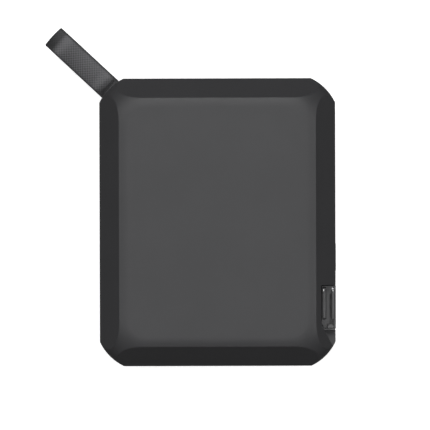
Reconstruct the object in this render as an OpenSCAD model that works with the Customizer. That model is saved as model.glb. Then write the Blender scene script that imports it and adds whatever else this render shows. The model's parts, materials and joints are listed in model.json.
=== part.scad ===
// Pocket logic analyzer: bevelled case with a probe socket, a port door, a side button
// and a carrying strap. It lies on its grip pad: +Z points out of the front face,
// +Y towards the strap's end and +X towards the port door.
// The origin is the centre of the grip pad's underside. All sizes are in millimetres.

/* [Case] */
// Width of the case
case_w = 82; // [81:0.5:84]
// Length of the case
case_l = 100; // [99:0.5:104]
// Thickness of the case, without the proud part of the grip pad
case_t = 24; // [23.5:0.5:26]
// Wall thickness of the covers and the frame
wall = 2; // [1.8:0.1:2.2]
// Radius of the corner columns
corner_r = 17.7; // [17.4:0.1:17.8]
// Distance from the sides to the centres of the corner columns
corner_inset = 16; // [15.8:0.1:16.2]

/* [Bevels] */
// Radius of the soft roll-off round the front face
front_roll = 12; // [11.5:0.5:12.5]
// Width of the front bevels in plan
front_run = 6.8; // [6.4:0.1:7]
// Depth of the front bevels
front_drop = 11; // [10.5:0.5:11]
// Radius of the roll-off round the rear face
rear_roll = 4; // [3.5:0.5:4]
// Width of the rear bevels in plan
rear_run = 3.2; // [2.8:0.1:3.4]
// Depth of the rear bevels
rear_drop = 4; // [4:0.5:4]

/* [Grip pad] */
// Size of the grip pad along X
pad_w = 52; // [44:1:54]
// Size of the grip pad along Y
pad_l = 68; // [60:1:70]
// Height of the grip pad below the rear face
pad_proud = 0.8; // [0.8:0.1:0.8]

/* [Strap] */
// Width of the strap webbing
strap_w = 7.9; // [7:0.1:8.4]
// Thickness of one layer of webbing
strap_ply = 0.9; // [0.8:0.05:1]
// Reach of the strap's fold from the centre of its corner column
strap_reach = 45.5; // [40:0.5:50]
// Direction of the strap, turned from +X
strap_angle = 137; // [135:1:139]

/* [Side button] */
// Length of the button's cap
button_l = 9.8; // [9:0.1:10]
// Height of the button's cap
button_h = 4.2; // [3.6:0.1:4.4]
// Height of the button's cap above the side of the case
button_proud = 0.15; // [0.1:0.05:0.3]

/* [Port door] */
// Top end of the door's bay
bay_top = -21.9; // [-22.2:0.1:-21.6]
// Inner side of the door's bay, from the centre line
bay_side = 35.8; // [35.7:0.1:36.2]
// Length of the door, from its free end to its hinge end
door_l = 15; // [14.6:0.1:15.2]
// Running clearance of the door in its bay
door_gap = 0.2; // [0.15:0.05:0.25]

/* [Probe socket] */
// Pins in each row
pin_columns = 8; // [6:1:8]
// Pin pitch
pin_pitch = 2.54; // [2.54:0.01:2.54]

/* [Hidden] */
$fn = 96;
hull_fn = 48;
eps = 0.01;

half_w = case_w / 2;
half_l = case_l / 2;
core_w = half_w - corner_inset;
core_l = half_l - corner_inset;
z_rear = pad_proud;
z_front = z_rear + case_t;
z_band_low = z_rear + rear_drop;
z_band_top = z_front - front_drop;
band_h = z_band_top - z_band_low;
band_z = z_band_low + band_h / 2;

// Board
board_t = 1.6;
board_top = 7.4;
board_low = board_top - board_t;
board_half_w = 36;
board_half_l = 44;
board_corner = 17;
board_screw_at = [30.5, 20];
board_screw_r = 1;
board_head_r = 1.9;

// Case screws
screw_at = [half_w - 11, half_l - 11.5];
screw_r = 1.25;
screw_head_r = 2.3;
screw_head_h = 1.6;
screw_hole_r = 1.5;
boss_r = 3.4;
insert_r = 2;
insert_l = 5;
screw_tip_z = z_band_top + insert_l + 0.6;

// Strap and its pin
strap_shift = -0.6;
pin_r = 0.9;
pin_x = 15;
strap_bore_r = pin_r + 0.1;
eye_r = strap_bore_r + strap_ply;
fold_r = 2.3;
pocket_w = strap_w + 0.8;
pocket_h = 6.8;
pocket_back = 3;
pin_l = pocket_w + 4;

// Door bay in plan: straight inner side, then a slanted side that runs out at the corner
bay_knee = -35.5;
bay_slant = 28.6;
bay_slant_l = 12;
bay_floor_t = 0.8;
bay_floor_z = z_band_low + bay_floor_t;

// Door
door_low = bay_floor_z + door_gap;
door_top = z_band_top + 0.1;
door_side = bay_side + door_gap;
door_face = half_w + 0.05;
door_end = bay_top - door_gap;
door_free = door_end - door_l;
hinge_r = 1.25;
hinge_at = [door_face - hinge_r, door_end - hinge_r];
hinge_pin_r = 0.6;
hinge_post_h = 1.3;
door_skin = 0.75;

// Groove for the gasket in the frame's rim, and the ramp that lets a fingertip reach the door
gasket_h = 0.4;
groove_at = 0.7;
groove_w = 0.6;
ramp_start = door_free - 0.6;
ramp_end = -half_l + 6;
ramp_low = 9.8;
ramp_high = z_band_top - 0.2;
rib_end = door_free + 2.8;

// Socket for the cable
usb_w = 8.94;
usb_h = 3.26;
usb_l = 7.3;
usb_wall = 0.3;
usb_mouth = bay_side - 0.3;
usb_at = [usb_mouth, (door_end + door_free) / 2, board_top + usb_h / 2];

// Probe header
header_z = 10.5;
cavity_w = pin_columns * pin_pitch + 0.6;
cavity_h = 5.3;
shroud_wall = 1.3;
shroud_face = -half_l + wall + 0.1;
shroud_l = 9;
pin_tip = -half_l + 4.4;
pin_side = 0.64;

// Window and button in the right-hand wall
window_y = [-6.5, 9.3];
window_h = 3.6;
button_y = -12.3;
flange_x = half_w - wall - 0.1;
flange_t = 0.8;
stem_z = 9.15;
switch_face = 35.7;

// Components on the board
chip_t = 1.1;
array_at = [0, -4];
array_side = 17;
array_t = 1.5;
pad_t = 0.6;
sink_side = 28;
sink_base = 2;
sink_h = 8;
fin_count = 8;
fin_t = 1.2;

// Rectangle whose corners are arcs; each arc meets its sides at a slight angle
module arc_rect(size, r, inset) {
    half = size / 2;
    difference() {
        square(size, center = true);
        for (x = [-1, 1], y = [-1, 1])
            scale_corner(x, y) translate(half - [inset, inset]) difference() {
                square(2 * r);
                circle(r);
            }
    }
}

module scale_corner(x, y) {
    mirror([x < 0 ? 1 : 0, 0]) mirror([0, y < 0 ? 1 : 0]) children();
}

// The door's bay in plan, grown by a wall thickness
module bay_plan(grow) {
    knee = [bay_side - grow, bay_knee - grow * tan(bay_slant / 2)];
    run_out = knee + bay_slant_l * [sin(bay_slant), -cos(bay_slant)];
    polygon([
        [knee[0], bay_top + grow], knee, run_out,
        [half_w + 10, run_out[1]], [half_w + 10, bay_top + grow]
    ]);
}

// Outline of the case, drawn in by a wall thickness
module outline(inset) {
    arc_rect([case_w - 2 * inset, case_l - 2 * inset], corner_r - inset, corner_inset - inset);
}

module plan(inset) {
    difference() {
        outline(inset);
        bay_plan(inset);
    }
}

// Corner column with a rolled top edge, standing on z = 0
module column(r, roll, h) {
    rotate_extrude($fn = hull_fn) polygon(concat(
        [[0, 0], [r, 0]],
        [for (a = [0:9:90]) [r - roll + roll * cos(a), h - roll + roll * sin(a)]],
        [[0, h]]
    ));
}

// Cross-section between two opposite bevels, with the face at y = 0
module bevel_profile(half, inset, run, drop, depth) {
    slant = norm([run, drop]) / drop;
    face_x = half - inset * slant - run * (drop - inset) / drop;
    side_x = half - inset;
    side_z = -drop - inset * (slant - 1) * drop / run;
    polygon([
        [-face_x, -inset], [face_x, -inset], [side_x, side_z], [side_x, -depth - 2],
        [-side_x, -depth - 2], [-side_x, side_z]
    ]);
}

// Rolled and bevelled half of the case, with its face at z = 0 and its rim at z = -depth
module bevelled_form(inset, roll, run, drop, depth) {
    tall = depth + roll;
    intersection() {
        hull() for (x = [-1, 1], y = [-1, 1])
            translate([x * core_w, y * core_l, -tall])
                column(corner_r - inset, roll - inset, tall - inset);
        rotate([90, 0, 0]) linear_extrude(2 * case_l, center = true)
            bevel_profile(half_w, inset, run, drop, depth);
        rotate([90, 0, 90]) linear_extrude(2 * case_w, center = true)
            bevel_profile(half_l, inset, run, drop, depth);
        translate([-case_w, -case_l, -depth]) cube([2 * case_w, 2 * case_l, depth]);
    }
}

module front_form(inset, extra) {
    translate([0, 0, z_front])
        bevelled_form(inset, front_roll, front_run, front_drop, front_drop + extra);
}

module rear_form(inset, extra) {
    translate([0, 0, z_rear]) mirror([0, 0, 1])
        bevelled_form(inset, rear_roll, rear_run, rear_drop, rear_drop + extra);
}

module at_screws() {
    for (x = [-1, 1], y = [-1, 1]) translate([x * screw_at[0], y * screw_at[1], 0]) children();
}

module at_board_screws() {
    for (x = [-1, 1], y = [-1, 1])
        translate([x * board_screw_at[0], y * board_screw_at[1], 0]) children();
}

module at_strap() {
    translate([-core_w, core_l, band_z]) rotate(strap_angle) translate([0, strap_shift, 0])
        children();
}

// Box given by its centre in X and Y, its size and the height of its underside
module block(at, size, z) {
    translate([at[0] - size[0] / 2, at[1] - size[1] / 2, z]) cube(size);
}

// Column along X with a rounded-corner section, from x0 to x1
module side_plug(at, x0, x1, w, h) {
    corner = min(w, h) * 0.45;
    translate([x0, at[0], at[1]]) rotate([90, 0, 90]) linear_extrude(x1 - x0)
        arc_rect([w, h], corner * 1.1, corner);
}

module front_cover() {
    color("#505052") difference() {
        front_form(0, 0);
        difference() {
            front_form(wall, 1);
            translate([0, 0, z_band_top - 2]) linear_extrude(case_t) bay_plan(wall);
            at_screws() translate([0, 0, z_band_top]) cylinder(r = boss_r, h = case_t);
        }
        translate([0, 0, z_band_top - 1]) linear_extrude(case_t) bay_plan(0);
        at_screws() translate([0, 0, z_band_top - 1]) cylinder(r = insert_r, h = insert_l + 2);
    }
}

// Sloped floor of the notch below the door's free end
module finger_ramp() {
    intersection() {
        translate([0, 0, z_band_low]) linear_extrude(band_h) intersection() {
            outline(0);
            bay_plan(0.5);
        }
        rotate([90, 0, 90]) linear_extrude(case_w) polygon([
            [ramp_start, 0], [ramp_start, ramp_low], [ramp_end, ramp_high],
            [-case_l, ramp_high], [-case_l, 0]
        ]);
    }
}

module mid_frame() {
    web_l = 9.6;
    color("#17171a") difference() {
        union() {
            translate([0, 0, z_band_low]) linear_extrude(band_h) difference() {
                plan(0);
                plan(wall);
            }
            translate([0, 0, z_band_low]) linear_extrude(bay_floor_t) intersection() {
                outline(0);
                bay_plan(0.5);
            }
            translate([0, 0, z_band_low]) linear_extrude(band_h) intersection() {
                outline(0.5);
                union() {
                    for (x = [-1, 1], y = [-1, 1]) scale_corner(x, y) translate(screw_at) {
                        circle(boss_r);
                        rotate(45) translate([0, -1.5]) square([web_l, 3]);
                    }
                }
            }
            intersection() {
                translate([0, 0, z_band_low]) linear_extrude(band_h) outline(0);
                at_strap() translate([pin_x - pocket_back - 2, -pocket_w / 2 - 2.6, -band_h / 2])
                    cube([10, pocket_w + 5.2, band_h]);
            }
            translate([hinge_at[0], hinge_at[1], z_band_low])
                cylinder(r = hinge_r, h = bay_floor_t + hinge_post_h);
            finger_ramp();
        }
        translate([0, 0, z_band_top - gasket_h]) linear_extrude(1) difference() {
            plan(groove_at);
            plan(groove_at + groove_w);
        }
        at_screws() cylinder(r = screw_hole_r, h = case_t);
        at_strap() translate([pin_x - pocket_back, -pocket_w / 2, -pocket_h / 2])
            cube([12, pocket_w, pocket_h]);
        at_strap() translate([pin_x, 0, 0]) rotate([90, 0, 0])
            cylinder(r = pin_r + 0.04, h = pin_l + 0.2, center = true);
        translate([hinge_at[0], hinge_at[1], z_band_low + 0.3])
            cylinder(r = hinge_pin_r + 0.03, h = band_h);
        side_plug([(window_y[0] + window_y[1]) / 2, band_z], half_w - wall - 1, half_w + 1,
            window_y[1] - window_y[0], window_h);
        side_plug([button_y, band_z], half_w - wall - 1, half_w + 1,
            button_l + 0.3, button_h + 0.3);
        side_plug([usb_at[1], usb_at[2]], bay_side - wall - 1, bay_side + 1,
            usb_w + 0.4, usb_h + 0.4);
        translate([-cavity_w / 2, -half_l - 1, header_z - cavity_h / 2])
            cube([cavity_w, wall + 2, cavity_h]);
    }
}

module rear_shell() {
    color("#3f3f42") difference() {
        rear_form(0, 0);
        difference() {
            rear_form(wall, 1);
            at_screws() cylinder(r = boss_r, h = z_band_low);
            at_board_screws() cylinder(r = 2.6, h = z_band_low);
        }
        block([0, 0], [pad_w, pad_l, 2], z_rear + 0.6 - 2);
        at_screws() cylinder(r = screw_hole_r, h = case_t);
        at_screws() cylinder(r = screw_head_r + 0.2, h = z_rear + screw_head_h + 0.3);
        at_board_screws() translate([0, 0, z_rear + 1.2]) cylinder(r = board_screw_r + 0.05, h = 10);
    }
    color("#3f3f42") at_board_screws() translate([0, 0, z_band_low - eps]) difference() {
        cylinder(r = 2.6, h = board_low - z_band_low + eps);
        translate([0, 0, -1]) cylinder(r = board_screw_r + 0.05, h = 10);
    }
}

module grip_pad() {
    color("#1d1d1f") linear_extrude(pad_proud + 0.6)
        square([pad_w - 0.2, pad_l - 0.2], center = true);
}

module case_gasket() {
    color("#0d0d0d") translate([0, 0, z_band_top - gasket_h]) linear_extrude(gasket_h) difference() {
        plan(groove_at + 0.03);
        plan(groove_at + groove_w - 0.03);
    }
}

module case_screws() {
    color("#8a8a8e") at_screws() difference() {
        union() {
            translate([0, 0, z_rear + 0.3]) cylinder(r = screw_head_r, h = screw_head_h);
            translate([0, 0, z_rear + 0.3]) cylinder(r = screw_r, h = screw_tip_z - z_rear - 0.3);
        }
        translate([0, 0, z_rear]) cylinder(r = 0.85, h = 1.2, $fn = 6);
    }
}

module brass_inserts() {
    color("#c9a24a") at_screws() translate([0, 0, z_band_top + 0.1]) difference() {
        cylinder(r = insert_r - 0.02, h = insert_l);
        translate([0, 0, -1]) cylinder(r = screw_r + 0.02, h = insert_l + 2);
    }
}

// Doubled webbing in side view: an eye round the pin, two layers sewn flat, and a fold
module strap_profile() {
    flat = 2 * strap_ply;
    fold_x = strap_reach - fold_r;
    difference() {
        union() {
            hull() {
                translate([pin_x, 0]) circle(eye_r, $fn = hull_fn);
                translate([pin_x + 4, 0]) square([0.2, flat], center = true);
            }
            translate([pin_x + 3.9, -strap_ply]) square([fold_x - pin_x - 11, flat]);
            hull() {
                translate([fold_x, 0]) circle(fold_r, $fn = hull_fn);
                translate([fold_x - 7.2, 0]) square([0.2, flat], center = true);
            }
        }
        hull() {
            translate([fold_x, 0]) circle(fold_r - strap_ply, $fn = hull_fn);
            translate([fold_x - 5, 0]) circle(0.1, $fn = hull_fn);
        }
    }
}

module carrying_strap() {
    color("#4a4a4d") at_strap() difference() {
        rotate([90, 0, 0]) linear_extrude(strap_w, center = true) strap_profile();
        translate([pin_x, 0, 0]) rotate([90, 0, 0])
            cylinder(r = strap_bore_r, h = strap_w + 2, center = true);
    }
}

module strap_pin() {
    color("#a8a8ac") at_strap() translate([pin_x, 0, 0]) rotate([90, 0, 0])
        cylinder(r = pin_r, h = pin_l, center = true);
}

module side_button() {
    color("#2a2a2d") {
        side_plug([button_y, band_z], flange_x - eps, half_w + button_proud, button_l, button_h);
        side_plug([button_y, band_z], flange_x - flange_t, flange_x, button_l + 0.6, button_h + 1);
        translate([switch_face + 1.1, button_y, stem_z]) rotate([0, 90, 0])
            cylinder(r = 1.2, h = flange_x - flange_t - switch_face - 1.1 + eps);
    }
}

module switch_plunger() {
    color("#1a1a1a") translate([switch_face - 0.6, button_y, stem_z]) rotate([0, 90, 0])
        cylinder(r = 1, h = 1.7);
}

module button_switch() {
    color("#c8c8c4") difference() {
        translate([32, button_y - 3, board_top]) cube([switch_face - 32, 6, 3.5]);
        translate([switch_face - 1.1, button_y, stem_z]) rotate([0, 90, 0])
            cylinder(r = 1.1, h = 3);
    }
}

// Lens in the wall, a flange behind it and a bar that reaches the lamps
module status_window() {
    mid_y = (window_y[0] + window_y[1]) / 2;
    span = window_y[1] - window_y[0];
    color("#26262a") {
        side_plug([mid_y, band_z], flange_x - eps, half_w - 0.04, span - 0.12, window_h - 0.12);
        side_plug([mid_y, band_z], flange_x - flange_t, flange_x, span - 0.12, window_h + 1.4);
        translate([36.1, window_y[0] + 1, board_top + 0.2])
            cube([flange_x - flange_t - 36.1 + eps, span - 2, 1.5]);
    }
}

module status_led(i) {
    color("#e8e6da") translate([34.2, window_y[0] + span_step(i), board_top])
        cube([1.7, 3, 1.4]);
}

function span_step(i) = 1.6 + 4.9 * (i - 1);

// The door in plan: round hinge end, flat faces, free end cut to clear the slanted wall
module door_plan() {
    circle_y = hinge_at[1];
    union() {
        translate(hinge_at) circle(hinge_r);
        polygon([
            [hinge_at[0], door_end], [door_side + 0.6, door_end], [door_side, door_end - 0.6],
            [door_side, bay_knee + 0.1], [door_side + 0.95, door_free], [door_face, door_free],
            [door_face, circle_y]
        ]);
    }
}

module port_door() {
    rib_y = hinge_at[1] - 0.6;
    rib_l = rib_y - rib_end;
    post_top = bay_floor_z + hinge_post_h + 0.1;
    color("#5a5a5d") difference() {
        union() {
            translate([0, 0, door_low]) linear_extrude(door_top - door_low) door_plan();
            translate([door_side + 1.2, rib_end, door_top]) rotate([-90, 0, 0])
                cylinder(r = 0.9, h = rib_l);
            translate([door_face - 0.75, rib_end, door_top]) rotate([-90, 0, 0])
                cylinder(r = 0.6, h = rib_l);
            translate([door_side + 2, door_free, door_top - 1]) cube([2.4, 1.6, 1.7]);
        }
        translate([door_side - 1, door_free + 1, door_low + door_skin])
            cube([door_face - door_skin - door_side + 1, door_l - 3.8, 6.9]);
        translate([hinge_at[0], hinge_at[1], door_low - 1])
            cylinder(r = hinge_r + 0.1, h = post_top - door_low + 1);
        translate([hinge_at[0], hinge_at[1], door_low - 1])
            cylinder(r = hinge_pin_r + 0.05, h = door_top - door_low + 0.4);
    }
}

module door_hinge_pin() {
    color("#b4b4b8") translate([hinge_at[0], hinge_at[1], z_band_low + 0.35])
        cylinder(r = hinge_pin_r, h = door_top - z_band_low - 1.2);
}

module usb_socket_shell() {
    color("#b9b9bd") difference() {
        side_plug([usb_at[1], usb_at[2]], usb_mouth - usb_l, usb_mouth, usb_w, usb_h);
        side_plug([usb_at[1], usb_at[2]], usb_mouth - usb_l + 1, usb_mouth + 1,
            usb_w - 2 * usb_wall, usb_h - 2 * usb_wall);
    }
}

module usb_socket_tongue() {
    color("#1b1b1d") translate([usb_mouth - usb_l + 1, usb_at[1] - 3.35, usb_at[2] - 0.35])
        cube([usb_l - 1.8, 6.7, 0.7]);
}

module probe_header_shroud() {
    outer_w = cavity_w + 2 * shroud_wall;
    outer_h = header_z + cavity_h / 2 + 0.6 - board_top;
    color("#141416") difference() {
        translate([-outer_w / 2, shroud_face, board_top]) cube([outer_w, shroud_l, outer_h]);
        translate([-cavity_w / 2, shroud_face - 1, header_z - cavity_h / 2])
            cube([cavity_w, shroud_l - 0.4, cavity_h]);
        translate([-2.2, shroud_face - 1, header_z]) cube([4.4, 6, 10]);
    }
}

module probe_header_pins() {
    color("#d8b24a") for (i = [0:pin_columns - 1], row = [0, 1]) {
        x = (i - (pin_columns - 1) / 2) * pin_pitch;
        z = header_z + (row - 0.5) * pin_pitch;
        leg = shroud_face + shroud_l + 1 + row * pin_pitch;
        translate([x - pin_side / 2, pin_tip, z - pin_side / 2])
            cube([pin_side, leg - pin_tip + pin_side, pin_side]);
        translate([x - pin_side / 2, leg, board_low - 1])
            cube([pin_side, pin_side, z - board_low + 1]);
    }
}

module main_board() {
    w = board_half_w;
    l = board_half_l;
    c = board_corner;
    color("#1e4d34") translate([0, 0, board_low]) difference() {
        linear_extrude(board_t) polygon([
            [w, -l + c], [w, l - c], [w - c, l], [-w + c, l],
            [-w, l - c], [-w, -l + c], [-w + c, -l], [w - c, -l]
        ]);
        translate([bay_side - wall - 0.3, -l - 1, -1]) cube([20, l + 1 + bay_top + wall + 0.3, 4]);
        at_board_screws() translate([0, 0, -1]) cylinder(r = 1.15, h = 4);
    }
}

module board_screws() {
    color("#8a8a8e") at_board_screws() difference() {
        union() {
            translate([0, 0, z_rear + 1.6]) cylinder(r = board_screw_r, h = board_top - z_rear - 1.6);
            translate([0, 0, board_top]) cylinder(r = board_head_r, h = 1.3);
        }
        translate([0, 0, board_top + 0.5]) cylinder(r = 0.7, h = 2, $fn = 6);
    }
}

module logic_array_chip() {
    color("#232326") block(array_at, [array_side, array_side, array_t], board_top);
}

module thermal_pad() {
    color("#7d8fa0") block(array_at, [array_side - 2, array_side - 2, pad_t], board_top + array_t);
}

module heatsink() {
    foot_z = board_top + array_t + pad_t;
    gap = (sink_side - fin_t) / (fin_count - 1);
    color("#2c2c30") {
        block(array_at, [sink_side, sink_side, sink_base], foot_z);
        for (i = [0:fin_count - 1])
            block([array_at[0] + (i - (fin_count - 1) / 2) * gap, array_at[1]],
                [fin_t, sink_side, sink_h - sink_base + eps], foot_z + sink_base - eps);
    }
}

module memory_chip() {
    color("#232326") block([-23, -4], [8, 12.5, chip_t], board_top);
}

module usb_controller() {
    color("#232326") block([22.5, -13], [8, 8, 0.9], board_top);
}

module clock_crystal() {
    color("#c2c2c6") block([0, 17], [5, 3.2, 1], board_top);
}

module input_buffer(i) {
    color("#232326") block([-18 + 12 * (i - 1), -24], [6.5, 4.4, chip_t], board_top);
}

module surge_arrays() {
    color("#2c2c2f") for (i = [0:3]) block([-18 + 12 * i, -31], [3, 3, 0.9], board_top);
}

module power_inductor() {
    color("#4b4b4e") block([8, 28], [6.6, 6.6, 3], board_top);
}

module voltage_regulator() {
    color("#232326") block([18, 27], [6, 5, 1.2], board_top);
}

module capacitors() {
    color("#b08d5b") for (i = [0:5]) block([-22 + 5 * i, 33], [1.6, 3.2, 1.6], board_top);
}

front_cover();
mid_frame();
rear_shell();
grip_pad();
case_gasket();
case_screws();
brass_inserts();
carrying_strap();
strap_pin();
side_button();
switch_plunger();
button_switch();
status_window();
status_led(1);  // status_led_1
status_led(2);  // status_led_2
status_led(3);  // status_led_3
port_door();
door_hinge_pin();
usb_socket_shell();
usb_socket_tongue();
probe_header_shroud();
probe_header_pins();
main_board();
board_screws();
logic_array_chip();
thermal_pad();
heatsink();
memory_chip();
usb_controller();
clock_crystal();
input_buffer(1);  // input_buffer_1
input_buffer(2);  // input_buffer_2
input_buffer(3);  // input_buffer_3
input_buffer(4);  // input_buffer_4
surge_arrays();
power_inductor();
voltage_regulator();
capacitors();
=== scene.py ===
import json
import math

import bmesh
import bpy
from mathutils import Matrix, Vector


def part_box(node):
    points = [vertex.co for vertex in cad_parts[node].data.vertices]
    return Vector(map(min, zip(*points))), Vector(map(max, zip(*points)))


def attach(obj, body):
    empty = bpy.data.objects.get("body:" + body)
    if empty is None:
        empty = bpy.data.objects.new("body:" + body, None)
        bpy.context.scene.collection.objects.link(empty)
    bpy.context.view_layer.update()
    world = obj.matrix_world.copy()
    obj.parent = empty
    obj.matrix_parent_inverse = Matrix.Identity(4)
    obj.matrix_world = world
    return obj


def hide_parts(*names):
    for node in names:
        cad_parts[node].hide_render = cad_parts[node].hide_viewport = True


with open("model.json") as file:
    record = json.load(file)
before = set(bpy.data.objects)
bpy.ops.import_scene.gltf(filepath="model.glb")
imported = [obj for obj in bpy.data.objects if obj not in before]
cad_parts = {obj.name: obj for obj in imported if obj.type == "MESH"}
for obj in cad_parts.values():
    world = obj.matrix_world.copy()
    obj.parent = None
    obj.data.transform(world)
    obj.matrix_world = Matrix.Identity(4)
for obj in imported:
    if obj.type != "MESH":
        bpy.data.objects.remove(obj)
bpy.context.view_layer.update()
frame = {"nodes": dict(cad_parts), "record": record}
mm = 0.001
cutTolerance = 0.0001 * mm

# Places that every piece is worked out from
halfWidth, halfLength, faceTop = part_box("front_cover")[1]
bandBottom, bandTop = (corner.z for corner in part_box("mid_frame"))
doorLow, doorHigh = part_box("port_door")


def jointPlace(name):
    return Vector(next(joint["pos_m"] for joint in frame["record"]["behaviour"]["joints"]
                       if joint["name"] == name))


# Modelling helpers

def deselectAll():
    if bpy.context.object and bpy.context.object.mode != "OBJECT":
        bpy.ops.object.mode_set(mode="OBJECT")
    bpy.ops.object.select_all(action="DESELECT")


def takeUp(piece):
    deselectAll()
    piece.select_set(True)
    bpy.context.view_layer.objects.active = piece
    return piece


def settle(name):  # names the new primitive and puts its place into its mesh
    piece = bpy.context.object
    piece.name = piece.data.name = name
    bpy.ops.object.transform_apply(location=True, rotation=True, scale=True)
    return piece


def addBlock(name, low, high):
    deselectAll()
    low, high = Vector(low), Vector(high)
    bpy.ops.mesh.primitive_cube_add(size=1, location=(low + high) / 2, scale=high - low)
    return settle(name)


def addRod(name, start, end, radius, vertices=32):
    deselectAll()
    start, end = Vector(start), Vector(end)
    turn = (end - start).to_track_quat("Z", "Y").to_euler()
    bpy.ops.mesh.primitive_cylinder_add(
        vertices=vertices, radius=radius, depth=(end - start).length,
        location=(start + end) / 2, rotation=turn)
    return settle(name)


def editAll(piece):  # enters edit mode with everything selected
    takeUp(piece)
    bpy.ops.object.mode_set(mode="EDIT")
    bpy.ops.mesh.select_all(action="SELECT")


def pick(piece, part, test):  # enters edit mode with the edges or faces selected that pass the test
    takeUp(piece)
    bpy.ops.object.mode_set(mode="EDIT")
    bpy.ops.mesh.select_mode(type=part)
    bpy.ops.mesh.select_all(action="DESELECT")
    form = bmesh.from_edit_mesh(piece.data)
    if part == "EDGE":
        for edge in form.edges:
            edge.select = test(edge.verts[0].co, edge.verts[1].co)
    else:
        for face in form.faces:
            face.select = test(face.calc_center_median(), face.normal)
    form.select_flush_mode()
    bmesh.update_edit_mesh(piece.data)


def leaveEdit():
    bpy.ops.object.mode_set(mode="OBJECT")


def roundEdges(piece, test, radius, segments):
    pick(piece, "EDGE", test)
    bpy.ops.mesh.bevel(offset=radius, segments=segments, affect="EDGES", clamp_overlap=False)
    leaveEdit()


def sliceOff(piece, point, outward):  # cuts away what lies past a plane and closes the cut
    editAll(piece)
    bpy.ops.mesh.bisect(plane_co=point, plane_no=outward, use_fill=True, clear_outer=True,
                        threshold=cutTolerance)
    leaveEdit()


def mergeClose(piece, distance=0.01 * mm):
    editAll(piece)
    bpy.ops.mesh.remove_doubles(threshold=distance)
    leaveEdit()


def applyModifier(piece, kind, **settings):
    takeUp(piece)
    modifier = piece.modifiers.new(kind.title(), kind)
    for setting, value in settings.items():
        setattr(modifier, setting, value)
    bpy.ops.object.modifier_apply(modifier=modifier.name)


def combine(piece, tool, operation="DIFFERENCE"):
    applyModifier(piece, "BOOLEAN", object=tool, operation=operation, solver="EXACT")
    bpy.data.objects.remove(tool)


def joinTo(piece, others):
    takeUp(piece)
    for other in others:
        other.select_set(True)
    bpy.ops.object.join()
    return piece


def joinAs(name, parts):
    piece = joinTo(parts[0], parts[1:])
    piece.name = piece.data.name = name
    return piece


def copiesOf(seed, places):  # one copy with its own mesh at each place, instead of the seed
    copies = []
    for place in places:
        copy = seed.copy()
        copy.data = seed.data.copy()
        bpy.context.scene.collection.objects.link(copy)
        copy.data.transform(place)
        copies.append(copy)
    bpy.data.objects.remove(seed)
    return copies


def soften(piece, width, segments=2, angle=24, edgeSlot=-1):
    applyModifier(piece, "BEVEL", width=width, segments=segments, limit_method="ANGLE",
                  angle_limit=math.radians(angle), use_clamp_overlap=True, material=edgeSlot,
                  miter_outer="MITER_ARC")
    smooth(piece)


def smooth(piece, angle=32):
    takeUp(piece)
    bpy.ops.object.shade_smooth_by_angle(angle=math.radians(angle))
    applyModifier(piece, "WEIGHTED_NORMAL", keep_sharp=True, weight=60)


def softCopy(node, name, width, angle=30):  # a CAD node's own shape with its edges broken
    mesh = frame["nodes"][node].data.copy()
    piece = bpy.data.objects.new(name, mesh)
    bpy.context.scene.collection.objects.link(piece)
    mesh.materials.clear()
    editAll(piece)
    bpy.ops.mesh.remove_doubles(threshold=0.002 * mm)
    bpy.ops.mesh.dissolve_limited(angle_limit=math.radians(0.5))
    leaveEdit()
    soften(piece, width, angle=angle)
    return piece


def dress(piece, *materials):
    piece.data.materials.clear()
    for material in materials:
        piece.data.materials.append(material)


def finishPiece(piece, body, slot, nodes, *materials):
    if materials:
        dress(piece, *materials)
    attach(piece, body)
    if nodes:
        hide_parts(*nodes)


# Shader maths: expressions on values add Math nodes

class Value:
    def __init__(self, finish, socket):
        self.finish = finish
        self.socket = socket

    def maths(self, operation, first, second=0.0):
        return self.finish.node("ShaderNodeMath", {"operation": operation}, {0: first, 1: second})

    def __add__(self, other):
        return self.maths("ADD", self, other)

    def __sub__(self, other):
        return self.maths("SUBTRACT", self, other)

    def __rsub__(self, other):
        return self.maths("SUBTRACT", other, self)

    def __mul__(self, other):
        return self.maths("MULTIPLY", self, other)

    def __abs__(self):
        return self.maths("ABSOLUTE", self)

    __radd__ = __add__
    __rmul__ = __mul__


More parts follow.
